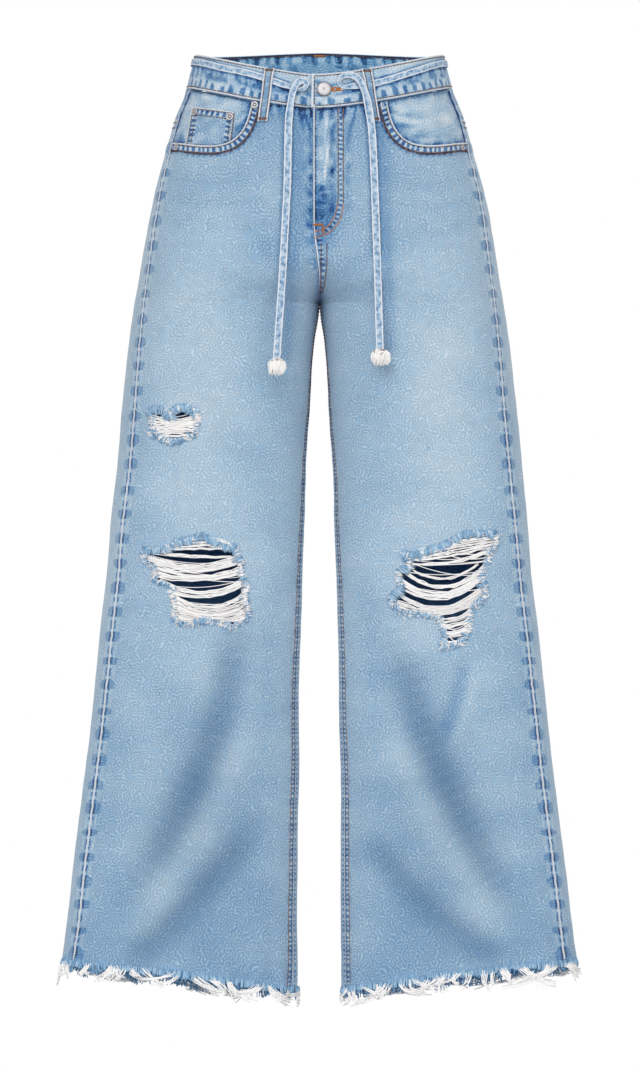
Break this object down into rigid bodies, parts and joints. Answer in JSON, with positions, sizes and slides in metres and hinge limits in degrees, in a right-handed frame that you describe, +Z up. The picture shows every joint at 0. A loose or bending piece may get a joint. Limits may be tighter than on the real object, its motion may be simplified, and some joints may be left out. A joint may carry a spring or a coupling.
{
  "type": "wide-leg ripped jeans",
  "caption": "High-waisted wide-leg denim jeans, filled out as worn, with ripped knees and thigh, raw frayed hems and a flat drawstring hanging from the belt loops.",
  "frame": {"origin": "middle of the waistband ring, where the wearer's waist carries the jeans", "axes": "+Z up, the front faces -Y, +X is the wearer's left"},
  "size_m": [0.5932, 0.2448, 1.0992],
  "materials": {
    "denim": "light-wash denim twill, faded at the thighs",
    "denim_dark": "less faded denim twill",
    "tape": "pale denim tape with raw white edges",
    "threads": "bare off-white cotton threads, matte",
    "steel": "pale silver shank button and rivets"
  },
  "bodies": {
    "root": {"front_right": "denim", "front_left": "denim", "back_right": "denim", "back_left": "denim", "yoke_right": "denim", "yoke_left": "denim", "waistband": "denim", "coin_pocket": "denim", "back_pocket_right": "denim", "back_pocket_left": "denim", "belt_loop_front_right": "denim_dark", "belt_loop_front_left": "denim_dark", "belt_loop_side_right": "denim_dark", "belt_loop_side_left": "denim_dark", "belt_loop_back": "denim_dark", "pocket_facing_right": "denim_dark", "pocket_facing_left": "denim_dark", "drawstring_waist": "tape", "drawstring_turn_right": "tape", "drawstring_turn_left": "tape", "drawstring_end_right": "tape", "drawstring_end_left": "tape", "drawstring_tuft_right": "threads", "drawstring_tuft_left": "threads", "rip_threads_thigh_right": "threads", "rip_threads_knee_right": "threads", "rip_threads_knee_left": "threads", "hem_fringe_right": "threads", "hem_fringe_left": "threads", "button": "steel", "rivet_right_inner": "steel", "rivet_right_outer": "steel", "rivet_left_inner": "steel", "rivet_left_outer": "steel", "rivet_coin_inner": "steel", "rivet_coin_outer": "steel"}
  },
  "joints": []
}
